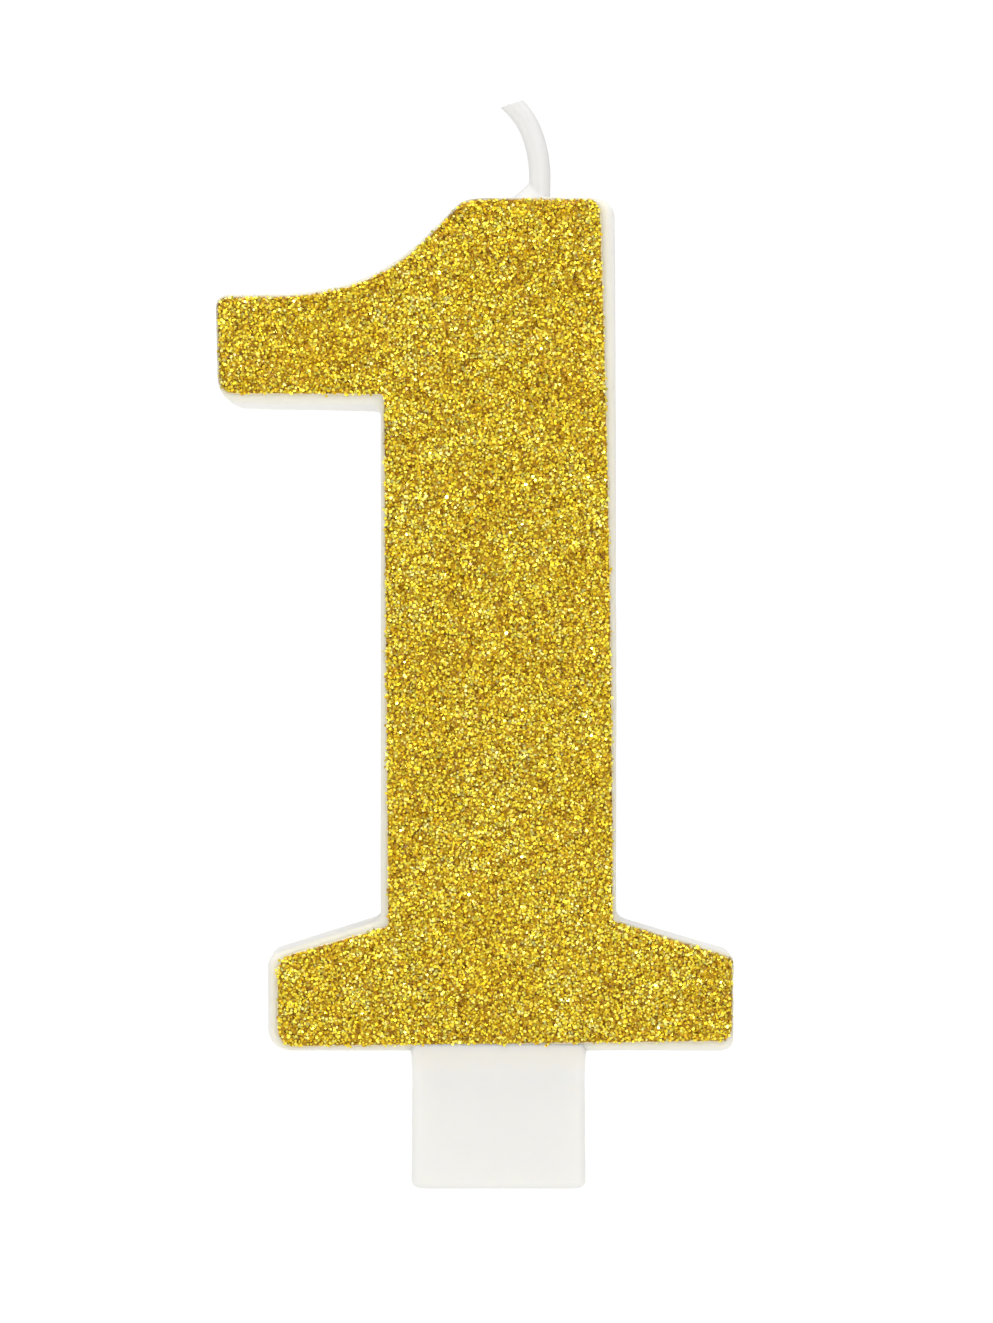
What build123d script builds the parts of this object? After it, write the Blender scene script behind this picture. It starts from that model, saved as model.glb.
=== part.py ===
from build123d import *
from dataclasses import dataclass
import os

# A glitter-faced birthday candle in the shape of the numeral 1, in millimetres, +Z up.
# The origin is the middle of the seam where the cake tab leaves the foot, so z = 0 is the
# surface of the cake. The glitter face looks along -Y and the numeral's arm points along -X.

# Casting
BODY_THICKNESS = 10.0
FRONT_ROUND = 0.75      # rounding of the edges of the glitter face
BACK_ROUND = 0.45       # rounding of the edges of the poured back

# Cake tab
TAB_WIDTH = 14.55
TAB_THICKNESS = 6.0
TAB_DEPTH = 11.7        # how far the tab reaches below the foot
TAB_CORNER = 0.7
TAB_EDGE_ROUND = 0.75
ROOT_THICKNESS = 9.6    # the tab thickens towards the foot
ROOT_RISE = 3.2
TENON_HEIGHT = 6.0
TENON_THICKNESS = 3.0
TENON_NECK_WIDTH = 9.0
TENON_HEAD_WIDTH = 12.0

# Wick
WICK_X = 3.46           # the wick stands right of the stem's middle
CORD_DIAMETER = 1.3
WAXED_DIAMETER = 1.8
CORD_END_Z = 9.0        # lower end of the buried run, above the tenon
WICK_STRAIGHT = 2.2     # upright stretch between the numeral's top and the first bend
FIRST_BEND_RADIUS = 9.9
FIRST_BEND_ANGLE = 22.6
SECOND_BEND_RADIUS = 6.4
SECOND_BEND_ANGLE = 24.2
TIP_SPARE = 2.0         # extra length that the slanted cut at the tip takes away
TIP_SLANT = 19.2        # tilt of the cut from level
FLARE_RADIUS = 0.8      # hollow rounding of the wax foot round the wick

# Coats on the glitter face
GLUE_THICKNESS = 0.12
GLITTER_THICKNESS = 0.3


@dataclass
class Numeral:
    """The corners of an outline of the numeral 1, in the XZ plane, and their radii.

    A pair of radii is left, right.
    """

    arm_tip_top_x: float
    arm_tip_foot_x: float
    arm_top_z: float
    arm_under_tip_z: float
    arm_under_root_z: float
    curve_start_x: float
    curve_end: tuple
    curve_end_slope: float
    stem_top_left: tuple
    stem_top_right: tuple
    stem_right_bulge: float
    stem_left_top_x: float
    stem_left_foot_x: float
    stem_right_foot_x: float
    shoulder_left_z: float
    shoulder_right_z: float
    foot_left: float
    foot_right: float
    foot_side_z: float
    foot_under_left_z: float
    foot_under_right_z: float
    arm_tip_top_radius: float
    arm_tip_foot_radius: float
    armpit_radius: float
    stem_top_left_radius: float
    stem_top_right_radius: float
    shoulder_radii: tuple
    foot_upper_radii: tuple
    foot_lower_radii: tuple


BODY = Numeral(
    arm_tip_top_x=-23.6,
    arm_tip_foot_x=-23.35,
    arm_top_z=63.0,
    arm_under_tip_z=53.95,
    arm_under_root_z=53.67,
    curve_start_x=-20.5,
    curve_end=(-3.85, 70.17),
    curve_end_slope=48.5,
    stem_top_left=(-3.03, 71.1),
    stem_top_right=(9.68, 71.1),
    stem_right_bulge=0.06,
    stem_left_top_x=-9.83,
    stem_left_foot_x=-9.83,
    stem_right_foot_x=9.82,
    shoulder_left_z=10.93,
    shoulder_right_z=10.83,
    foot_left=-19.22,
    foot_right=19.56,
    foot_side_z=7.95,
    foot_under_left_z=0.0,
    foot_under_right_z=0.0,
    arm_tip_top_radius=0.9,
    arm_tip_foot_radius=2.0,
    armpit_radius=0.5,
    stem_top_left_radius=1.8,
    stem_top_right_radius=1.5,
    shoulder_radii=(0.7, 1.2),
    foot_upper_radii=(1.1, 0.5),
    foot_lower_radii=(1.8, 0.95),
)

COAT = Numeral(
    arm_tip_top_x=-23.45,
    arm_tip_foot_x=-23.2,
    arm_top_z=62.74,
    arm_under_tip_z=54.7,
    arm_under_root_z=54.6,
    curve_start_x=-20.0,
    curve_end=(-3.85, 69.82),
    curve_end_slope=49.0,
    stem_top_left=(-2.88, 70.9),
    stem_top_right=(8.45, 70.85),
    stem_right_bulge=0.26,
    stem_left_top_x=-9.55,
    stem_left_foot_x=-9.2,
    stem_right_foot_x=9.5,
    shoulder_left_z=10.4,
    shoulder_right_z=10.85,
    foot_left=-18.4,
    foot_right=19.45,
    foot_side_z=7.75,
    foot_under_left_z=0.4,
    foot_under_right_z=0.85,
    arm_tip_top_radius=0.9,
    arm_tip_foot_radius=1.2,
    armpit_radius=0.4,
    stem_top_left_radius=2.9,
    stem_top_right_radius=1.2,
    shoulder_radii=(0.5, 0.5),
    foot_upper_radii=(1.6, 0.5),
    foot_lower_radii=(1.4, 1.2),
)


def numeral_edges(n):
    """The closed outline of a numeral, from the foot's lower left corner clockwise."""
    foot_low_left = (n.foot_left, n.foot_under_left_z)
    foot_high_left = (n.foot_left, n.foot_side_z)
    shoulder_left = (n.stem_left_foot_x, n.shoulder_left_z)
    armpit = (n.stem_left_top_x, n.arm_under_root_z)
    arm_low = (n.arm_tip_foot_x, n.arm_under_tip_z)
    arm_high = (n.arm_tip_top_x, n.arm_top_z)
    curve_start = (n.curve_start_x, n.arm_top_z)
    shoulder_right = (n.stem_right_foot_x, n.shoulder_right_z)
    foot_high_right = (n.foot_right, n.foot_side_z)
    foot_low_right = (n.foot_right, n.foot_under_right_z)

    # The arm's top runs level, then swings up in a hollow curve to the top of the stem.
    reach = n.curve_end[0] - n.curve_start_x
    rise = n.curve_end[1] - n.arm_top_z
    slope = Vector(1, 0).rotate(Axis.Z, n.curve_end_slope)
    level_handle = Vector(*curve_start) + Vector(0.5 * reach, 0)
    steep_handle = Vector(*n.curve_end) - slope * rise
    hollow = Bezier(curve_start, level_handle, steep_handle, n.curve_end)

    # The stem's right side bows out very slightly.
    side_middle = (Vector(*n.stem_top_right) + Vector(*shoulder_right)) / 2
    bowed = side_middle + Vector(n.stem_right_bulge, 0)
    return Curve() + [
        Polyline(foot_low_left, foot_high_left, shoulder_left, armpit, arm_low, arm_high),
        Line(arm_high, curve_start),
        hollow,
        Polyline(n.curve_end, n.stem_top_left, n.stem_top_right),
        ThreePointArc(n.stem_top_right, bowed, shoulder_right),
        Polyline(shoulder_right, foot_high_right, foot_low_right, foot_low_left),
    ]


def corner_radii(n):
    """Each rounded corner of a numeral's outline, as (corner, radius)."""
    shoulder_left, shoulder_right = n.shoulder_radii
    upper_left, upper_right = n.foot_upper_radii
    lower_left, lower_right = n.foot_lower_radii
    return [
        ((n.foot_left, n.foot_under_left_z), lower_left),
        ((n.foot_left, n.foot_side_z), upper_left),
        ((n.stem_left_foot_x, n.shoulder_left_z), shoulder_left),
        ((n.stem_left_top_x, n.arm_under_root_z), n.armpit_radius),
        ((n.arm_tip_foot_x, n.arm_under_tip_z), n.arm_tip_foot_radius),
        ((n.arm_tip_top_x, n.arm_top_z), n.arm_tip_top_radius),
        (n.stem_top_left, n.stem_top_left_radius),
        (n.stem_top_right, n.stem_top_right_radius),
        ((n.stem_right_foot_x, n.shoulder_right_z), shoulder_right),
        ((n.foot_right, n.foot_side_z), upper_right),
        ((n.foot_right, n.foot_under_right_z), lower_right),
    ]


def numeral_slab(n, front_y, thickness):
    """A slab of the numeral's shape with rounded corners, its front at front_y."""
    face = make_face(Plane.XZ * numeral_edges(n))
    slab = Pos(0, front_y, 0) * extrude(face, amount=thickness, dir=(0, 1, 0))
    for (x, z), radius in corner_radii(n):
        across = slab.edges().filter_by(Axis.Y)
        corner = across.sort_by_distance((x, front_y + thickness / 2, z))[0]
        slab = fillet(corner, radius)
    return slab


def tab_tenon():
    """The part of the tab inside the foot: it widens upwards, so it can't pull out."""
    neck = TENON_NECK_WIDTH / 2
    head = TENON_HEAD_WIDTH / 2
    outline = Polyline(
        (-neck, 0), (-head, TENON_HEIGHT), (head, TENON_HEIGHT), (neck, 0), close=True
    )
    return extrude(Plane.XZ * make_face(outline), amount=TENON_THICKNESS / 2, both=True)


def tab_root():
    """The wedge by which the tab thickens towards the underside of the foot."""
    low = TAB_THICKNESS / 2
    high = ROOT_THICKNESS / 2
    outline = Polyline(
        (-low, -ROOT_RISE), (-high, 0), (high, 0), (low, -ROOT_RISE), close=True
    )
    width = TAB_WIDTH - 2 * TAB_EDGE_ROUND
    return extrude(Plane.YZ * make_face(outline), amount=width / 2, both=True)


def cake_tab():
    """The flat tab that goes into the cake, with its thickened root and its tenon."""
    plate = Box(
        TAB_WIDTH, TAB_THICKNESS, TAB_DEPTH, align=(Align.CENTER, Align.CENTER, Align.MAX)
    )
    low_corners = plate.edges().filter_by(Axis.Y).group_by(Axis.Z)[0]
    plate = fillet(low_corners, TAB_CORNER)
    outer_edges = plate.faces().filter_by(Axis.Y).edges().group_by(Axis.Z)[:-1]
    plate = fillet([edge for group in outer_edges for edge in group], TAB_EDGE_ROUND)
    return plate + tab_root() + tab_tenon()


def wick_path(start_z):
    """The wick's centre line, from start_z up through the numeral's top to past its tip."""
    bend_z = BODY.stem_top_left[1] + WICK_STRAIGHT
    upright = Line((WICK_X, start_z), (WICK_X, bend_z))
    first = JernArc(upright @ 1, upright % 1, FIRST_BEND_RADIUS, FIRST_BEND_ANGLE)
    second = JernArc(first @ 1, first % 1, SECOND_BEND_RADIUS, SECOND_BEND_ANGLE)
    spare = Line(second @ 1, (second @ 1) + (second % 1) * TIP_SPARE)
    path = Plane.XZ * (Curve() + [upright, first, second, spare])
    return path, Plane.XZ.from_local_coords(second @ 1)


def wick_rod(start_z, diameter):
    """A round rod along the wick's path, cut on the slant at the tip."""
    path, tip = wick_path(start_z)
    section = Plane((WICK_X, 0, start_z)) * Circle(diameter / 2)
    rod = sweep(section, path=path)
    cut = Plane(tip, x_dir=(0, 1, 0), z_dir=Vector(0, 0, 1).rotate(Axis.Y, -TIP_SLANT))
    return split(rod, bisect_by=cut, keep=Keep.BOTTOM)


def wick_cord():
    """The braided cotton wick, buried in the stem and bent over above it."""
    return wick_rod(CORD_END_Z, CORD_DIAMETER)


def wick_wax_coat(cord):
    """The wax on the exposed wick, with its flared foot on the numeral's top."""
    top_z = BODY.stem_top_left[1]
    root = WAXED_DIAMETER / 2
    flare_outline = Curve() + [
        Line((0, 0), (root + FLARE_RADIUS, 0)),
        RadiusArc((root + FLARE_RADIUS, 0), (root, FLARE_RADIUS), -FLARE_RADIUS),
        Line((root, FLARE_RADIUS), (0, FLARE_RADIUS)),
        Line((0, FLARE_RADIUS), (0, 0)),
    ]
    flare = revolve(Plane.XZ * make_face(flare_outline), Axis.Z)
    sheath = wick_rod(top_z, WAXED_DIAMETER)
    return sheath + Pos(WICK_X, 0, top_z) * flare - cord


def numeral_body(tab, cord):
    """The wax casting, with the bore of the wick and the pocket of the tab's tenon."""
    body = numeral_slab(BODY, -BODY_THICKNESS / 2, BODY_THICKNESS)
    front = body.faces().sort_by(Axis.Y)[0]
    body = fillet(front.edges(), FRONT_ROUND)
    back = body.faces().sort_by(Axis.Y)[-1]
    body = fillet(back.edges(), BACK_ROUND)
    return body - tab - cord


def main():
    front_y = -BODY_THICKNESS / 2
    glue_y = front_y - GLUE_THICKNESS
    glitter_y = glue_y - GLITTER_THICKNESS
    tab = cake_tab()
    cord = wick_cord()
    nodes = {
        "numeral_body": numeral_body(tab, cord),
        "cake_tab": tab,
        "wick_cord": cord,
        "wick_wax_coat": wick_wax_coat(cord),
        "glue_coat": numeral_slab(COAT, glue_y, GLUE_THICKNESS),
        "glitter_coat": numeral_slab(COAT, glitter_y, GLITTER_THICKNESS),
    }
    os.makedirs("parts", exist_ok=True)
    for name, solid in nodes.items():
        solid.label = name
        export_step(solid, f"parts/{name}.step")


main()
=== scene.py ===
import math
from collections import namedtuple

import bmesh
import bpy
import numpy as np
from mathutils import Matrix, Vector, geometry, noise
from mathutils.bvhtree import BVHTree


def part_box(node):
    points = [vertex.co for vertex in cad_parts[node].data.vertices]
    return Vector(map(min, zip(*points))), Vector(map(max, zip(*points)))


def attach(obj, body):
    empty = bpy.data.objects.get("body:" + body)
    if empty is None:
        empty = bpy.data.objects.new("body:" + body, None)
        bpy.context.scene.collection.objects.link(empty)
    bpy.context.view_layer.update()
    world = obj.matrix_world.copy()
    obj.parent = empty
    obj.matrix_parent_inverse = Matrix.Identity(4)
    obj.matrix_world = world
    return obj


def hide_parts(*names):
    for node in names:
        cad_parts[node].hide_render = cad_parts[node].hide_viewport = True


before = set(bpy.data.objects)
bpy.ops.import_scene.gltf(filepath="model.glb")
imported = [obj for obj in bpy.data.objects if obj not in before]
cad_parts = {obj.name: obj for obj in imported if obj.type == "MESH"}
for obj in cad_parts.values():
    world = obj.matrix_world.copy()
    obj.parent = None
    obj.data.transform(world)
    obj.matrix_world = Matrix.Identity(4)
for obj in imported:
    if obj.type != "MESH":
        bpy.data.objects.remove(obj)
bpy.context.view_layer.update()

# A glitter-faced numeral candle. Lengths are in metres, written as millimetres times MM.
MM = 0.001
WAX_LOW, WAX_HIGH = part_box("numeral_body")
TAB_LOW, TAB_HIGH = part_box("cake_tab")
FRONT_Y = WAX_LOW.y
BACK_Y = WAX_HIGH.y
TOP_Z = WAX_HIGH.z

# Camera: straight on, level with the middle of the picture
VIEW_DISTANCE = 400 * MM
VIEW_HEIGHT = 110.0 * MM       # what the picture's long side takes in at the front face
VIEW_X = -0.17 * MM
VIEW_Z = 32.42 * MM

# Wick: the same route as the CAD wick's
WICK_X = 3.46 * MM
WICK_STRAIGHT = 2.2 * MM
WICK_BENDS = ((9.9 * MM, math.radians(22.6)), (6.4 * MM, math.radians(24.2)))
WICK_TIP_SLANT = math.radians(19.2)
WICK_END_Z = 9.0 * MM
WAX_RADIUS = 0.9 * MM
CORD_RADIUS = 0.65 * MM

# Studio: how bright the floor, the room in front of the candle and the pale wall behind it
# are to the candle, and how bright all three are to the camera
FLOOR_LIGHT = 0.74
ROOM_LIGHT = 0.49
BACKDROP_LIGHT = 0.55
SEEN_WHITE = 1.05
FLOOR_RADIUS = 6.0
# Each light's name, place, width, height and brightness; the lamps make the glitter sparkle
SOFTBOXES = (
    ("key_softbox", (-0.55, -0.85, 0.65), 0.60, 0.60, 1.75),
    ("key_lamp", (-0.40, -1.00, 0.55), 0.104, 0.104, 26.0),
    ("fill_softbox", (0.80, -0.80, 0.40), 0.50, 0.50, 1.2),
    ("fill_lamp", (0.50, -1.05, 0.30), 0.090, 0.090, 24.0),
    ("top_softbox", (0.0, 0.0, 0.95), 0.90, 0.90, 2.1),
    ("front_softbox", (-0.10, -1.10, 0.32), 0.40, 0.22, 1.5),
)

# Casting
WAX_VOXEL = 0.3 * MM
SWELL_HEIGHT = 0.028 * MM
BACK_SINK = 0.28 * MM           # how far the back sinks, from BACK_RIM to SINK_END inside
BACK_RIM = 0.4 * MM
SINK_END = 4.5 * MM
CROWN_DROP = 0.16 * MM          # how far the stem's top falls CROWN_REACH from its middle
CROWN_REACH = 6 * MM

# Tab: its root swells on both faces, between two heights, until it is nearly flush with
# the wax, and its tenon stands in the foot
TAB_THICKNESS = 6.0 * MM
TAB_EDGE = 0.75 * MM
TAB_DRAFT = -0.06 * MM
ROOT_FOOT_Z = -3.4 * MM
ROOT_HEAD_Z = 0.6 * MM
ROOT_GROWTH = 2.02 * MM
ROOT_SPREAD = 0.3 * MM
TENON_NECK = 4.5 * MM           # half widths, then half the thickness
TENON_HEAD = 6.0 * MM
TENON_HALF_THICKNESS = 1.5 * MM

# Glue and glitter
GLUE_SPACING = 0.22 * MM
GLUE_ROUGHNESS = 0.045 * MM
GLUE_SUNK = 0.03 * MM           # how far the film reaches into the wax
RIM_STEP = 0.25 * MM
FLAKE_RADIUS = 0.125 * MM
FLAKE_SPACING = 0.25 * MM
FLAKE_DEPTH = 0.03 * MM
LOOSE_SHARE = 0.35              # loose flakes on top, as a share of the first layer
STRAY_SHARE = 0.3               # places tried for strays past the edge, and how many stay
STRAY_KEPT = 0.05

Shade = namedtuple("Shade", "name low high hazes deep middle pale")
SHADES = (
    Shade(
        "glitter_lemon_gold",
        low=0.0,
        high=0.42,
        hazes=(0.22, 0.13),
        deep=(1, 0.80, 0.04),
        middle=(1, 0.89, 0.085),
        pale=(1, 0.95, 0.29),
    ),
    Shade(
        "glitter_rich_gold",
        low=0.42,
        high=0.80,
        hazes=(0.30, 0.18),
        deep=(0.95, 0.66, 0.01),
        middle=(1, 0.78, 0.025),
        pale=(1, 0.86, 0.05),
    ),
    Shade(
        "glitter_deep_gold",
        low=0.80,
        high=1.01,
        hazes=(0.40, 0.26),
        deep=(0.45, 0.225, 0.002),
        middle=(0.76, 0.445, 0.005),
        pale=(0.97, 0.68, 0.012),
    ),
)


# ---------------------------------------------------------------- mesh helpers

def new_piece(name, verts, faces, material, smooth=True):
    """A mesh object in the scene, made from arrays."""
    mesh = bpy.data.meshes.new(name)
    mesh.from_pydata([tuple(v) for v in verts], [], [tuple(f) for f in faces])
    mesh.validate()
    mesh.polygons.foreach_set("use_smooth", [smooth] * len(mesh.polygons))
    mesh.materials.append(material)
    piece = bpy.data.objects.new(name, mesh)
    bpy.context.scene.collection.objects.link(piece)
    return piece


def coordinates(mesh):
    co = np.empty(len(mesh.vertices) * 3)
    mesh.vertices.foreach_get("co", co)
    return co.reshape(-1, 3)


def normals(mesh):
    n = np.empty(len(mesh.vertices) * 3)
    mesh.vertices.foreach_get("normal", n)
    return n.reshape(-1, 3)


def set_coordinates(mesh, co):
    mesh.vertices.foreach_set("co", np.asarray(co, np.float32).ravel())
    mesh.update()


def point_attribute(mesh, name, values):
    attribute = mesh.attributes.new(name, "FLOAT", "POINT")
    attribute.data.foreach_set("value", np.asarray(values, np.float32))


def recalculate_outside(piece):
    """Turns every face of a closed piece to look outwards."""
    shape = bmesh.new()
    shape.from_mesh(piece.data)
    bmesh.ops.recalc_face_normals(shape, faces=shape.faces)
    shape.to_mesh(piece.data)
    shape.free()


def ray_tree(piece):
    """A search tree over a piece's faces, for casting rays at it."""
    return BVHTree.FromPolygons(
        [Vector(v) for v in coordinates(piece.data)],
        [tuple(p.vertices) for p in piece.data.polygons],
    )


def smoothstep(low, high, x):
    """0 below low, 1 above high, and an S-shaped rise between them."""
    t = np.clip((x - low) / (high - low), 0, 1)
    return t * t * (3 - 2 * t)


def noise_at(points, scale, seed=0.0):
    """Smooth noise from about -1 to 1 at each point, with features about scale wide."""
    shift = Vector((seed, 2.7 * seed, -1.3 * seed))
    return np.array([noise.noise(Vector(p) / scale + shift) for p in points])


def front_outline(node):
    """The outline of a flat CAD node's front face, as ordered (x, z) points."""
    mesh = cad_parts[node].data
    co = coordinates(mesh)
    front = co[:, 1].min() + 0.02 * MM
    key = {}
    index = [key.setdefault(tuple(np.round(p / (0.001 * MM))), len(key)) for p in co]
    place = {k: co[i] for i, k in enumerate(index)}
    sides = {}
    for polygon in mesh.polygons:
        ring = [index[v] for v in polygon.vertices]
        if all(place[v][1] < front for v in ring):
            for a, b in zip(ring, ring[1:] + ring[:1]):
                sides[(a, b)] = True
    onward = {}
    for a, b in sides:
        if (b, a) not in sides:
            onward.setdefault(a, []).append(b)
    loop = [min(onward, key=lambda v: place[v][0])]
    while onward.get(loop[-1]):
        step = onward[loop[-1]].pop()
        if step in loop[1:]:
            # The outline touches itself here: drop the tiny loop this closes.
            loop = loop[: loop.index(step) + 1]
        else:
            loop.append(step)
    return np.array([place[v][[0, 2]] for v in loop[:-1]])


def inset_in(points, outline):
    """How far each (x, z) point lies inside an outline; negative outside."""
    best = np.full(len(points), np.inf)
    inside = np.zeros(len(points), bool)
    for a, b in zip(outline, np.roll(outline, -1, 0)):
        along = b - a
        t = np.clip(((points - a) @ along) / max(along @ along, 1e-18), 0, 1)
        best = np.minimum(best, np.linalg.norm(points - a - t[:, None] * along, axis=1))
        crosses = (a[1] > points[:, 1]) != (b[1] > points[:, 1])
        if crosses.any():
            x = a[0] + (points[:, 1] - a[1]) * along[0] / (along[1] or 1e-18)
            inside ^= crosses & (points[:, 0] < x)
    return np.where(inside, best, -best)


def jittered_grid(low, high, spacing, jitter, rng):
    """Points of a triangular grid over a rectangle, each moved a little at random."""
    rows = np.arange(low[1], high[1] + spacing, spacing * math.sqrt(3) / 2)
    points = []
    for i, z in enumerate(rows):
        x = np.arange(low[0] + (i % 2) * spacing / 2, high[0] + spacing, spacing)
        points.append(np.column_stack([x, np.full(len(x), z)]))
    points = np.vstack(points)
    return points + rng.uniform(-jitter, jitter, points.shape) * spacing


def on_front(tree, points):
    """Where a ray along +Y through each (x, z) point meets the wax, with its normal."""
    places = np.empty((len(points), 3))
    facing = np.empty((len(points), 3))
    hit = np.zeros(len(points), bool)
    start_y = FRONT_Y - 5 * MM
    for i, (x, z) in enumerate(points):
        place, normal, _, _ = tree.ray_cast(Vector((x, start_y, z)), Vector((0, 1, 0)))
        if place is not None and place.y < 0:
            places[i], facing[i], hit[i] = place, normal, True
    return places, facing, hit


# ---------------------------------------------------------------- materials

class Nodes:
    """A short way to write a material's node tree."""

    def __init__(self, name):
        self.material = bpy.data.materials.new(name)
        self.material.use_nodes = True
        self.tree = self.material.node_tree
        self.shader = self.tree.nodes["Principled BSDF"]

    def add(self, kind, inputs=None, **settings):
        node = self.tree.nodes.new("ShaderNode" + kind)
        for key, value in settings.items():
            setattr(node, key, value)
        for key, value in (inputs or {}).items():
            if isinstance(value, bpy.types.NodeSocket):
                self.tree.links.new(value, node.inputs[key])
            else:
                node.inputs[key].default_value = value
        return node

    def ramp(self, factor, *stops):
        node = self.add("ValToRGB", {"Fac": factor})
        while len(node.color_ramp.elements) < len(stops):
            node.color_ramp.elements.new(0.5)
        for element, (position, color) in zip(node.color_ramp.elements, stops):
            element.position = position
            element.color = (*color, 1)
        return node.outputs["Color"]

    def attribute(self, name):
        """The value that the mesh holds under this name."""
        return self.add("Attribute", attribute_name=name).outputs["Fac"]

    def mix(self, factor, a, b):
        """A colour that goes from a to b as the factor rises."""
        node = self.add("Mix", {"Factor": factor, "A": a, "B": b}, data_type="RGBA")
        return node.outputs["Result"]

    def spread(self, factor, low, high):
        """Maps 0 to 1 onto low to high."""
        node = self.add("MapRange", {"Value": factor, "To Min": low, "To Max": high})
        return node.outputs["Result"]

    def texture_space(self):
        return self.add("TexCoord").outputs["Object"]

    def noise(self, scale, detail=3.0, roughness=0.5):
        node = self.add(
            "TexNoise",
            {
                "Vector": self.texture_space(),
                "Scale": scale,
                "Detail": detail,
                "Roughness": roughness,
            },
        )
        return node.outputs["Fac"]

    def bump(self, height, distance, strength=1.0, under=None):
        node = self.add(
            "Bump", {"Height": height, "Distance": distance, "Strength": strength}
        )
        if under is not None:
            self.tree.links.new(under, node.inputs["Normal"])
        return node.outputs["Normal"]

    def set(self, **values):
        """Sets the shader's sockets; an underscore stands for a space."""
        for key, value in values.items():
            socket = self.shader.inputs[key.replace("_", " ")]
            if isinstance(value, bpy.types.NodeSocket):
                self.tree.links.new(value, socket)
            else:
                socket.default_value = value
        return self.material


def wax_material():
    """White paraffin: soft sheen, faint clouding, fine cast marks, and a warm tint near the
    glitter that is partly glue and partly painted reflection of the gold flakes.
    """
    n = Nodes("paraffin_wax")
    clouds = n.noise(260, 4)
    fine = n.noise(2600, 3)
    swells = n.noise(420, 2)
    pure = n.ramp(clouds, (0.3, (0.86, 0.84, 0.79)), (0.7, (0.90, 0.885, 0.845)))
    # Near the glitter the wax is tinted gold: partly glue, partly painted reflection of the
    # flakes.
    color = n.mix(n.attribute("tint_and_painted_light"), pure, (0.86, 0.77, 0.52, 1))
    relief = n.bump(swells, 0.05 * MM, 0.5)
    relief = n.bump(fine, 0.008 * MM, 0.6, relief)
    return n.set(
        Base_Color=color,
        Roughness=n.spread(clouds, 0.34, 0.5),
        Normal=relief,
        Subsurface_Weight=0.85,
        Subsurface_Radius=(1.0, 0.93, 0.82),
        Subsurface_Scale=1.6 * MM,
        IOR=1.44,
        Specular_IOR_Level=0.45,
    )


def tab_material():
    """The tab's white: more even than the casting, with painted shade and painted gold
    reflection warming it towards the foot.
    """
    n = Nodes("tab_white")
    clouds = n.noise(170, 3)
    specks = n.noise(3100, 2)
    pure = n.ramp(clouds, (0.25, (0.855, 0.848, 0.815)), (0.75, (0.875, 0.868, 0.838)))
    # Towards the foot the tab takes painted shade and painted gold reflection, as under the
    # foot's overhang.
    color = n.mix(n.attribute("tint_and_painted_light"), pure, (0.86, 0.82, 0.74, 1))
    relief = n.bump(n.noise(300, 2), 0.04 * MM, 0.4)
    relief = n.bump(specks, 0.006 * MM, 0.5, relief)
    return n.set(
        Base_Color=color,
        Roughness=n.spread(clouds, 0.36, 0.46),
        Normal=relief,
        Subsurface_Weight=0.8,
        Subsurface_Radius=(1.0, 0.9, 0.75),
        Subsurface_Scale=1.3 * MM,
        IOR=1.44,
    )


def wick_wax_material():
    """Thin wax over cotton: greyer, with faint lengthwise streaks."""
    n = Nodes("wick_wax")
    streaks = n.attribute("streak")
    clouds = n.noise(900, 3)
    mixed = n.add("Math", {0: streaks, 1: clouds}, operation="MULTIPLY").outputs[0]
    color = n.ramp(mixed, (0.1, (0.80, 0.795, 0.78)), (0.55, (0.84, 0.835, 0.82)))
    relief = n.bump(clouds, 0.01 * MM, 0.5)
    return n.set(
        Base_Color=color,
        Roughness=n.spread(clouds, 0.26, 0.42),
        Normal=relief,
        IOR=1.44,
    )


def cotton_material():
    """Off-white cotton yarn with fine fibres along the strands."""
    n = Nodes("waxed_cotton")
    fibres = n.noise(5200, 4, 0.7)
    color = n.ramp(fibres, (0.3, (0.76, 0.74, 0.68)), (0.7, (0.90, 0.89, 0.86)))
    return n.set(
        Base_Color=color,
        Roughness=n.spread(fibres, 0.55, 0.8),
        Normal=n.bump(fibres, 0.02 * MM, 0.8),
        Subsurface_Weight=0.5,
        Subsurface_Radius=(1.0, 0.95, 0.85),
        Subsurface_Scale=0.4 * MM,
        Sheen_Weight=0.15,
    )


def glue_material():
    """Glossy glue full of sunken flakes, whose dark golds are partly their own colour and
    partly painted shade for the gaps between the flakes on top; clear and creamy where it
    thins out at its rim.
    """
    n = Nodes("glitter_glue")
    depth = n.attribute("inset")
    tone = n.attribute("tone")
    # The sunken flakes' golds run dark: partly their own colour, partly painted shade in the
    # gaps between the flakes on top.
    gold = n.ramp(
        tone,
        (0.0, (0.14, 0.06, 0.002)),
        (0.5, (0.42, 0.215, 0.004)),
        (1.0, (0.74, 0.48, 0.012)),
    )
    grain = n.noise(5000, 2)
    covered = n.add(
        "Math", {0: depth, 1: n.spread(grain, -0.35, 0.35)}, operation="ADD"
    ).outputs[0]
    share = n.ramp(covered, (0.42, (0, 0, 0)), (0.58, (1, 1, 1)))
    return n.set(
        Base_Color=n.mix(share, (0.84, 0.74, 0.46, 1), gold),
        Metallic=n.spread(share, 0.0, 0.85),
        Roughness=n.spread(share, 0.22, 0.42),
        Normal=n.bump(grain, 0.01 * MM, 0.6),
        Coat_Weight=0.25,
        Coat_Roughness=0.12,
    )


def glitter_material(shade):
    """Metallised flakes: each flake has its own tone and its own slight haze."""
    n = Nodes(shade.name)
    tone = n.attribute("tone")
    color = n.ramp(tone, (0.0, shade.deep), (0.55, shade.middle), (1.0, shade.pale))
    return n.set(
        Base_Color=color,
        Metallic=1.0,
        Roughness=n.spread(tone, *shade.hazes),
        Coat_Weight=0.6,
        Coat_Roughness=0.10,
    )


# ---------------------------------------------------------------- the casting

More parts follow.
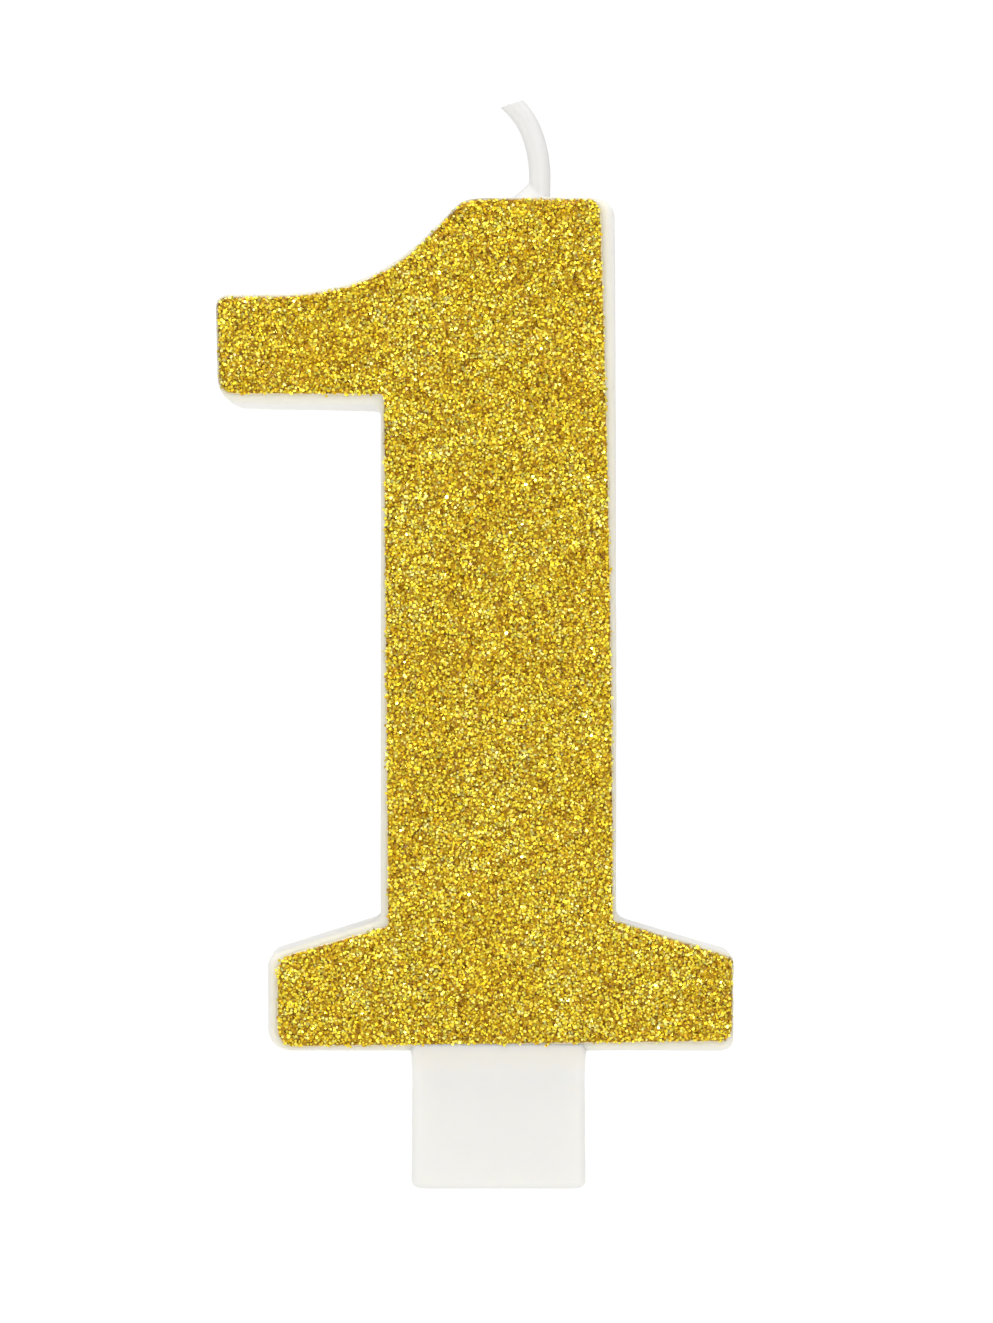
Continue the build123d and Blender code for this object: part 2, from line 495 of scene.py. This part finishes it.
def remeshed(node, name, voxel, rounds, material):
    """A copy of a CAD node as an even, softly rounded mesh."""
    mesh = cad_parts[node].data.copy()
    piece = bpy.data.objects.new(name, mesh)
    bpy.context.scene.collection.objects.link(piece)
    remesh = piece.modifiers.new("even", "REMESH")
    remesh.mode = "VOXEL"
    remesh.voxel_size = voxel
    soften = piece.modifiers.new("soften", "SMOOTH")
    soften.factor = 0.5
    soften.iterations = rounds
    done = bpy.data.meshes.new_from_object(
        piece.evaluated_get(bpy.context.evaluated_depsgraph_get())
    )
    piece.modifiers.clear()
    piece.data = done
    done.name = name
    done.polygons.foreach_set("use_smooth", [True] * len(done.polygons))
    done.materials.clear()
    done.materials.append(material)
    return piece


def glue_tint_and_gold_reflection(points, coat_outline):
    """How much warm tint each point of the wax takes on near the glitter: partly the glue's
    creamy tint, partly painted reflection of the gold flakes.
    """
    outside = -inset_in(points[:, [0, 2]], coat_outline)
    near = 1 - smoothstep(-0.1 * MM, 1.2 * MM, outside)
    front = 1 - smoothstep(FRONT_Y + 0.8 * MM, FRONT_Y + 2.5 * MM, points[:, 1])
    return 0.68 * near * front


def wax_body(outline, coat_outline):
    """The casting, with the slight hollows and swells that cooling wax takes on."""
    piece = remeshed("numeral_body", "wax_body", WAX_VOXEL, 3, wax_material())
    co = coordinates(piece.data)
    out = normals(piece.data)
    swell = noise_at(co, 7 * MM) + 0.5 * noise_at(co, 2.2 * MM, 3.1)
    co = co + out * (SWELL_HEIGHT * swell)[:, None]
    # The poured back sinks between its edges as the wax shrinks.
    inset = inset_in(co[:, [0, 2]], outline)
    back = (out[:, 1] > 0.6) & (co[:, 1] > 0.6 * BACK_Y)
    sink = BACK_SINK * smoothstep(BACK_RIM, SINK_END, inset)
    co[:, 1] -= np.where(back, sink, 0)
    # The stem's top is a little higher in the middle.
    top = smoothstep(TOP_Z - 2.5 * MM, TOP_Z, co[:, 2])
    middle = WICK_X - 0.4 * MM
    co[:, 2] -= top * CROWN_DROP * ((co[:, 0] - middle) / CROWN_REACH) ** 2
    set_coordinates(piece.data, co)
    # The warm tint near the glitter is partly glue and partly painted reflection of the gold
    # flakes.
    point_attribute(piece.data, "tint_and_painted_light", glue_tint_and_gold_reflection(co, coat_outline))
    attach(piece, "root")
    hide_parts("numeral_body")
    return piece


# ---------------------------------------------------------------- the tab

def rounded_ring(half_x, half_y, corner, count):
    """Points round a rectangle with rounded corners, evenly spaced by angle share."""
    corner = min(corner, half_x, half_y)
    straight_x = half_x - corner
    straight_y = half_y - corner
    arc = math.pi / 2 * corner
    stretches = [2 * straight_y, arc, 2 * straight_x, arc] * 2
    ends = np.cumsum(stretches)
    ring = []
    centres = ((1, 1), (-1, 1), (-1, -1), (1, -1))
    for at in np.arange(count) / count * ends[-1]:
        k = int(np.searchsorted(ends, at, side="right"))
        into = at - (ends[k - 1] if k else 0)
        side, on_arc = divmod(k, 2)
        sx, sy = centres[side]
        if on_arc:
            angle = side * math.pi / 2 + into / corner
            ring.append(
                (
                    sx * straight_x + corner * math.cos(angle),
                    sy * straight_y + corner * math.sin(angle),
                )
            )
        elif side % 2 == 0:
            ring.append((sx * half_x, -sy * (straight_y - into)))
        else:
            ring.append((-sx * (straight_x - into), sy * half_y))
    return np.array(ring)


def lofted(rings):
    """Closed skin over a stack of rings with the same number of points."""
    count = len(rings[0])
    verts = np.vstack(rings)
    faces = []
    for i in range(len(rings) - 1):
        a = i * count
        for k in range(count):
            n = (k + 1) % count
            faces.append((a + k, a + n, a + count + n, a + count + k))
    faces.append(tuple(reversed(range(count))))
    last = (len(rings) - 1) * count
    faces.append(tuple(range(last, last + count)))
    return verts, faces


def cake_tab():
    """The flat tab, thicker at its root, with its tenon inside the foot."""
    half_x = (TAB_HIGH.x - TAB_LOW.x) / 2
    half_y = TAB_THICKNESS / 2
    depth = -TAB_LOW.z
    tenon_top = TAB_HIGH.z
    rings = []

    def ring(z, grow_x, grow_y, corner):
        outline = rounded_ring(half_x + grow_x, half_y + grow_y, corner, 160)
        rings.append(np.column_stack([outline, np.full(len(outline), z)]))

    for angle in np.linspace(0.15, math.pi / 2, 8):
        shrink = TAB_EDGE * (1 - math.sin(angle))
        ring(-depth + TAB_EDGE * (1 - math.cos(angle)), -shrink, -shrink, TAB_EDGE)
    for z in np.linspace(-depth + TAB_EDGE, ROOT_FOOT_Z, 40)[1:]:
        ring(z, TAB_DRAFT * (z + depth) / depth, 0, TAB_EDGE)
    for up in np.linspace(0, 1, 18)[1:]:
        z = ROOT_FOOT_Z + (ROOT_HEAD_Z - ROOT_FOOT_Z) * up
        spread = TAB_DRAFT + ROOT_SPREAD * up**5
        ring(z, spread, ROOT_GROWTH * smoothstep(0, 1, up), TAB_EDGE)
    neck = -(half_x - TENON_NECK)
    head = -(half_x - TENON_HEAD)
    thin = -(half_y - TENON_HALF_THICKNESS)
    for z in np.linspace(ROOT_HEAD_Z, tenon_top, 8):
        ring(z, neck + (head - neck) * z / tenon_top, thin, 0.2 * MM)
    verts, faces = lofted(rings)
    swell = noise_at(verts, 5 * MM, 8.2) * 0.03 * MM
    side = np.column_stack([verts[:, 0] / half_x, verts[:, 1] / half_y, 0 * swell])
    verts = verts + side * swell[:, None]
    piece = new_piece("cake_tab_plate", verts, faces, tab_material())
    # Painted shade and gold reflection, strongest at the root under the foot.
    point_attribute(piece.data, "tint_and_painted_light", smoothstep(-2.5 * MM, ROOT_HEAD_Z, verts[:, 2]))
    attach(piece, "root")
    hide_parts("cake_tab")
    return piece


# ---------------------------------------------------------------- the wick

def wick_centre(s):
    """Point and direction on the wick's centre line, s above the numeral's top."""
    if s <= WICK_STRAIGHT:
        return np.array([WICK_X, 0, TOP_Z + s]), np.array([0, 0, 1.0])
    point = np.array([WICK_X, 0, TOP_Z + WICK_STRAIGHT])
    lean = 0.0
    left = s - WICK_STRAIGHT
    for radius, turn in WICK_BENDS:
        part = min(left / radius, turn)
        end = lean + part
        point = point + radius * np.array(
            [math.cos(end) - math.cos(lean), 0, math.sin(end) - math.sin(lean)]
        )
        lean = end
        left -= part * radius
    along = np.array([-math.sin(lean), 0, math.cos(lean)])
    return point + along * max(left, 0), along


WICK_LENGTH = WICK_STRAIGHT + sum(radius * turn for radius, turn in WICK_BENDS)
TIP_POINT = wick_centre(WICK_LENGTH)[0]
TIP_NORMAL = np.array([-math.sin(WICK_TIP_SLANT), 0, math.cos(WICK_TIP_SLANT)])


def wick_point(s, across, depth):
    """A point beside the wick's centre line: across in the bend's plane, depth along Y."""
    point, along = wick_centre(s)
    sideways = np.array([along[2], 0, -along[0]])
    return point + sideways * across + np.array([0, 1.0, 0]) * depth


def cut_length(across, depth):
    """How far along the wick a line beside its centre meets the slanted cut."""
    low, high = 0.5 * WICK_LENGTH, WICK_LENGTH + 2 * MM
    for _ in range(30):
        middle = (low + high) / 2
        if (wick_point(middle, across, depth) - TIP_POINT) @ TIP_NORMAL < 0:
            low = middle
        else:
            high = middle
    return low


def root_flare(around, s):
    """How much the wax at the wick's root adds to its radius: most of it on the left."""
    left = (0.5 - 0.5 * math.cos(around)) ** 2.5
    climb = max(0.0, 1 - max(s, 0) / ((0.35 + 1.35 * left) * MM))
    return (0.3 + 1.5 * left) * MM * 1.15 * climb**2 / (climb + 0.15)


def wick_wax():
    """The wax on the exposed wick, with faint lengthwise ridges and a sunken cut end."""
    count, rows = 72, 90
    rings, streaks = [], []
    angles = np.arange(count) / count * 2 * math.pi
    ends = [cut_length(WAX_RADIUS * math.cos(a), WAX_RADIUS * math.sin(a)) for a in angles]
    for row in range(rows + 1):
        share = row / rows
        ring = []
        for k, a in enumerate(angles):
            s = -0.4 * MM + (ends[k] + 0.4 * MM) * share**1.15
            ridge = math.cos(9 * a + 260 * s) * 0.5 + math.cos(5 * a - 170 * s) * 0.5
            lump = noise.noise(Vector((math.cos(a), math.sin(a), s / (1.4 * MM))))
            radius = WAX_RADIUS * (1 + 0.012 * ridge + 0.02 * lump) + root_flare(a, s)
            ring.append(wick_point(s, radius * math.cos(a), radius * math.sin(a)))
            streaks.append(0.5 + 0.5 * ridge)
        rings.append(np.array(ring))
    tip_rim = rings[-1]
    middle = tip_rim.mean(0)
    for shrink, lift in ((0.93, 0.02), (0.82, 0.015), (0.72, -0.03), (0.2, -0.05)):
        rings.append(middle + (tip_rim - middle) * shrink + TIP_NORMAL * lift * MM)
        streaks += [0.5] * count
    verts, faces = lofted(rings)
    piece = new_piece("wick_wax_sheath", verts, faces, wick_wax_material())
    point_attribute(piece.data, "streak", streaks)
    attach(piece, "root")
    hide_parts("wick_wax_coat")
    return piece


def wick_cord(rng):
    """Braided cotton: strands that weave over and under each other round the core."""
    strands, sides = 8, 8
    strand_radius = 0.2 * MM
    start = WICK_END_Z - TOP_Z
    pitch = 4.2 * MM
    verts, faces = [], []
    for strand in range(strands):
        turn = 1 if strand % 2 else -1
        phase = strand / strands * 2 * math.pi
        stick_out = rng.uniform(0.0, 0.07) * MM
        centres = []
        length = WICK_LENGTH - start + 0.5 * MM
        for s in start + np.linspace(0, length, 360):
            angle = phase + turn * 2 * math.pi * s / pitch
            weave = math.cos(strands / 2 * angle * turn + phase)
            around = CORD_RADIUS - strand_radius + 0.05 * MM * weave
            across = around * math.cos(angle)
            depth = around * math.sin(angle)
            point = wick_point(s, across, depth)
            if (point - TIP_POINT) @ TIP_NORMAL > stick_out:
                break
            centres.append(point)
        rings = []
        for i, point in enumerate(centres):
            ahead = centres[min(i + 1, len(centres) - 1)] - centres[max(i - 1, 0)]
            ahead = ahead / np.linalg.norm(ahead)
            side = np.cross(ahead, (0, 1.0, 0))
            side = side / np.linalg.norm(side)
            other = np.cross(ahead, side)
            a = np.arange(sides) / sides * 2 * math.pi
            rings.append(
                point
                + strand_radius * (np.cos(a)[:, None] * side + np.sin(a)[:, None] * other)
            )
        tube_verts, tube_faces = lofted(rings)
        base = len(verts)
        verts.extend(tube_verts)
        faces.extend(tuple(base + v for v in face) for face in tube_faces)
    piece = new_piece("wick_braid", verts, faces, cotton_material())
    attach(piece, "root")
    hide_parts("wick_cord")
    return piece


# ---------------------------------------------------------------- glue and glitter

def glue_rim(outline):
    """The glitter's outline in short steps, each moved out or in a little."""
    rim = []
    for a, b in zip(outline, np.roll(outline, -1, 0)):
        steps = max(1, int(np.linalg.norm(b - a) / RIM_STEP))
        rim += [a + (b - a) * i / steps for i in range(steps)]
    rim = np.array(rim)
    ahead = np.roll(rim, -1, 0) - np.roll(rim, 1, 0)
    outward = np.column_stack([ahead[:, 1], -ahead[:, 0]])
    outward /= np.linalg.norm(outward, axis=1)[:, None] + 1e-12
    if inset_in(rim[:1] + outward[:1] * 0.05 * MM, outline)[0] > 0:
        outward = -outward
    wobble = np.array([noise.noise(Vector((*p, 0)) / (0.9 * MM)) for p in rim])
    return rim + outward * ((0.06 + 0.12 * wobble) * MM)[:, None]


def glue_film(tree, outline, rng):
    """A thin film of glue on the front face, with an uneven rim past the flakes."""
    low, high = outline.min(0) - MM, outline.max(0) + MM
    grid = jittered_grid(low, high, GLUE_SPACING, 0.25, rng)
    grid = grid[inset_in(grid, outline) > 0.1 * MM]
    rim = glue_rim(outline)
    flat = [Vector(p) for p in np.vstack([rim, grid])]
    border = [(i, (i + 1) % len(rim)) for i in range(len(rim))]
    points, _, triangles, _, _, _ = geometry.delaunay_2d_cdt(flat, border, [], 1, 1e-9)
    points = np.array([tuple(p) for p in points])
    places, facing, hit = on_front(tree, points)
    missed = ~hit
    places[missed] = np.column_stack(
        [points[missed, 0], np.full(missed.sum(), FRONT_Y + 0.6 * MM), points[missed, 1]]
    )
    facing[missed] = (0, -1, 0)
    inset = inset_in(points, outline)
    thick = (0.03 + 0.09 * smoothstep(-0.1 * MM, 0.4 * MM, inset)) * MM
    rough = rng.normal(0, GLUE_ROUGHNESS, len(points))
    rough *= smoothstep(0.1 * MM, 0.3 * MM, inset)
    thick = np.maximum(thick + rough, 0.02 * MM)
    top = places + facing * thick[:, None]
    under = places - facing * GLUE_SUNK
    count = len(points)
    verts = np.vstack([top, under])
    faces = [tuple(t) for t in triangles]
    faces += [tuple(v + count for v in reversed(t)) for t in triangles]
    sides = {(a, b) for t in triangles for a, b in zip(t, t[1:] + t[:1])}
    for a, b in sides:
        if (b, a) not in sides:
            faces.append((b, a, a + count, b + count))
    piece = new_piece("glue_film", verts, faces, glue_material())
    recalculate_outside(piece)
    share = smoothstep(-0.15 * MM, 0.25 * MM, inset)
    point_attribute(piece.data, "inset", np.concatenate([share, share]))
    deep = np.concatenate([inset, inset]) > 0.15 * MM
    smooth = [not deep[list(p.vertices)].all() for p in piece.data.polygons]
    piece.data.polygons.foreach_set("use_smooth", smooth)
    tones = np.array(rng.random(len(piece.data.polygons)), np.float32)
    piece.data.attributes.new("tone", "FLOAT", "FACE").data.foreach_set("value", tones)
    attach(piece, "root")
    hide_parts("glue_coat")
    return piece


def flake_places(tree, outline, rng):
    """Where the flakes lie, and in which layer: the even first one, the loose second one
    or the few strays past the ragged edge."""
    low, high = outline.min(0) - MM, outline.max(0) + MM
    first = jittered_grid(low, high, FLAKE_SPACING, 0.45, rng)
    second = rng.uniform(low, high, (int(len(first) * LOOSE_SHARE), 2))
    strays = rng.uniform(low, high, (int(len(first) * STRAY_SHARE), 2))
    points = np.vstack([first, second, strays])
    layer = np.repeat([0, 1, 2], [len(first), len(second), len(strays)])
    inset = inset_in(points, outline)
    ragged = np.array([noise.noise(Vector((*p, 0)) / (0.8 * MM)) for p in points])
    edge = inset - 0.07 * MM + 0.15 * MM * ragged + rng.normal(0, 0.07 * MM, len(points))
    keep = np.where(layer < 2, edge > 0, (edge > -0.13 * MM) & (edge < 0))
    keep &= (layer < 2) | (rng.random(len(points)) < STRAY_KEPT)
    points, layer = points[keep], layer[keep]
    places, facing, hit = on_front(tree, points)
    return places[hit], facing[hit], layer[hit]


def flake_corners(places, facing, layer, rng):
    """Each flake's seven points: the six of its rim, then the one under its middle."""
    count = len(places)
    turned = smoothstep(-0.95, -0.6, facing[:, 1])
    tilt_spread = np.choose(layer, [0.34, 0.5, 0.2]) * (1 - 0.6 * turned)
    lean = rng.normal(0, 1, (count, 3)) * tilt_spread[:, None]
    outward = facing + lean
    outward /= np.linalg.norm(outward, axis=1)[:, None]
    lift = np.choose(layer, [0.12, 0.19, 0.04]) + rng.uniform(0, 0.08, count)
    lift = lift * (1 - 0.6 * turned)
    centres = places + facing * (lift * MM)[:, None]
    spin = rng.normal(0, 1, (count, 3))
    side = np.cross(outward, spin)
    side /= np.linalg.norm(side, axis=1)[:, None]
    other = np.cross(outward, side)
    radius = FLAKE_RADIUS * rng.uniform(0.75, 1.18, count)
    angles = np.arange(6) * math.pi / 3
    rim = (
        centres[:, None]
        + radius[:, None, None] * np.cos(angles)[None, :, None] * side[:, None]
        + radius[:, None, None] * np.sin(angles)[None, :, None] * other[:, None]
    )
    under = centres - outward * FLAKE_DEPTH
    return np.concatenate([rim, under[:, None]], axis=1)


def flake_map(mesh, count):
    """A UV map with a cell of its own for each flake, so that a texture can hold its tone."""
    across = math.ceil(math.sqrt(count))
    flake = np.arange(count)
    centres = np.column_stack([flake % across, flake // across]) + 0.5
    angles = np.arange(6) * math.pi / 3
    rim = 0.42 * np.column_stack([np.cos(angles), np.sin(angles)])
    corners = (centres[:, None] + np.vstack([rim, (0, 0)])) / across
    loops = np.empty(len(mesh.loops), np.int32)
    mesh.loops.foreach_get("vertex_index", loops)
    uv = corners.reshape(-1, 2)[loops].astype(np.float32)
    mesh.uv_layers.new(name="OFBake").data.foreach_set("uv", uv.ravel())


def glitter(places, facing, layer, rng):
    """The flakes, as three pieces by shade of gold."""
    corners = flake_corners(places, facing, layer, rng)
    clump = noise_at(places, 1.5 * MM, 5.3) + 0.8 * noise_at(places, 6 * MM, 1.7)
    shade = np.clip(rng.random(len(places)) - 0.19 * clump, 0, 1)
    tone = np.clip(rng.random(len(places)) + 0.3 * clump, 0, 1)
    for kind in SHADES:
        chosen = (shade >= kind.low) & (shade < kind.high)
        verts = corners[chosen].reshape(-1, 3)
        faces = []
        for i in range(chosen.sum()):
            b = 7 * i
            faces.append(tuple(b + k for k in range(6)))
            faces += [(b + (k + 1) % 6, b + k, b + 6) for k in range(6)]
        piece = new_piece(kind.name, verts, faces, glitter_material(kind), False)
        point_attribute(piece.data, "tone", np.repeat(tone[chosen], 7))
        flake_map(piece.data, chosen.sum())
        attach(piece, "root")
        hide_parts("glitter_coat")


# ---------------------------------------------------------------- the studio

def camera_only(tree, seen, lit):
    """A shader that shows the camera what is seen, and every other ray what is lit."""
    ray = tree.nodes.new("ShaderNodeLightPath")
    mix = tree.nodes.new("ShaderNodeMixShader")
    tree.links.new(ray.outputs["Is Camera Ray"], mix.inputs["Fac"])
    tree.links.new(lit, mix.inputs[1])
    tree.links.new(seen, mix.inputs[2])
    return mix.outputs["Shader"]


def floor():
    """A pale floor under the tab, which looks white to the camera."""
    n = Nodes("pale_floor")
    tint = n.noise(3, 2)
    n.set(
        Base_Color=n.ramp(tint, (0.3, (0.20, 0.20, 0.20)), (0.7, (0.22, 0.22, 0.22))),
        Roughness=0.9,
        Emission_Color=(1, 1, 1, 1),
        Emission_Strength=FLOOR_LIGHT,
    )
    white = n.add("Emission", {"Color": (1, 1, 1, 1), "Strength": SEEN_WHITE})
    surface = camera_only(n.tree, white.outputs[0], n.shader.outputs[0])
    n.tree.links.new(surface, n.tree.nodes["Material Output"].inputs["Surface"])
    bpy.ops.mesh.primitive_circle_add(
        vertices=96, radius=FLOOR_RADIUS, fill_type="NGON", location=(0, 0, TAB_LOW.z)
    )
    disc = bpy.context.object
    disc.name = "floor"
    disc.data.materials.append(n.material)


def surround():
    """A room that is a little brighter behind the candle, and white to the camera."""
    world = bpy.data.worlds.new("studio")
    bpy.context.scene.world = world
    world.use_nodes = True
    tree = world.node_tree
    direction = tree.nodes.new("ShaderNodeTexCoord").outputs["Generated"]
    split = tree.nodes.new("ShaderNodeSeparateXYZ")
    tree.links.new(direction, split.inputs["Vector"])
    level = tree.nodes.new("ShaderNodeMapRange")
    level.interpolation_type = "SMOOTHSTEP"
    level.inputs["From Min"].default_value = -0.15
    level.inputs["From Max"].default_value = 0.45
    level.inputs["To Min"].default_value = ROOM_LIGHT
    level.inputs["To Max"].default_value = BACKDROP_LIGHT
    tree.links.new(split.outputs["Y"], level.inputs["Value"])
    tree.links.new(level.outputs["Result"], tree.nodes["Background"].inputs["Strength"])
    tree.nodes["Background"].inputs["Color"].default_value = (1, 1, 1, 1)
    white = tree.nodes.new("ShaderNodeBackground")
    white.inputs["Color"].default_value = (1, 1, 1, 1)
    white.inputs["Strength"].default_value = SEEN_WHITE
    surface = camera_only(tree, white.outputs[0], tree.nodes["Background"].outputs[0])
    tree.links.new(surface, tree.nodes["World Output"].inputs["Surface"])


def softbox(name, place, width, height, brightness):
    """An area light that faces the middle of the candle."""
    data = bpy.data.lights.new(name, "AREA")
    data.shape = "RECTANGLE"
    data.size = width
    data.size_y = height
    data.energy = brightness * width * height * math.pi
    light = bpy.data.objects.new(name, data)
    light.location = place
    aim = Vector((0, 0, VIEW_Z)) - Vector(place)
    light.rotation_euler = aim.to_track_quat("-Z", "Y").to_euler()
    bpy.context.scene.collection.objects.link(light)


def studio():
    """Plain soft light on a pale floor."""
    floor()
    surround()
    for settings in SOFTBOXES:
        softbox(*settings)


def camera():
    """A camera straight in front of the glitter face."""
    data = bpy.data.cameras.new("camera")
    data.sensor_width = 36.0
    data.lens = data.sensor_width * VIEW_DISTANCE / VIEW_HEIGHT
    data.clip_start = 0.01
    data.clip_end = 50
    cam = bpy.data.objects.new("camera", data)
    cam.location = (VIEW_X, FRONT_Y - VIEW_DISTANCE, VIEW_Z)
    cam.rotation_euler = (math.pi / 2, 0, 0)
    bpy.context.scene.collection.objects.link(cam)
    bpy.context.scene.camera = cam


def main():
    rng = np.random.default_rng(11)
    camera()
    studio()
    bpy.context.scene.view_settings.view_transform = "Standard"
    coat_outline = front_outline("glitter_coat")
    body_outline = front_outline("numeral_body")
    tree = ray_tree(wax_body(body_outline, coat_outline))
    cake_tab()
    wick_wax()
    wick_cord(rng)
    glue_film(tree, coat_outline, rng)
    glitter(*flake_places(tree, coat_outline, rng), rng)


main()
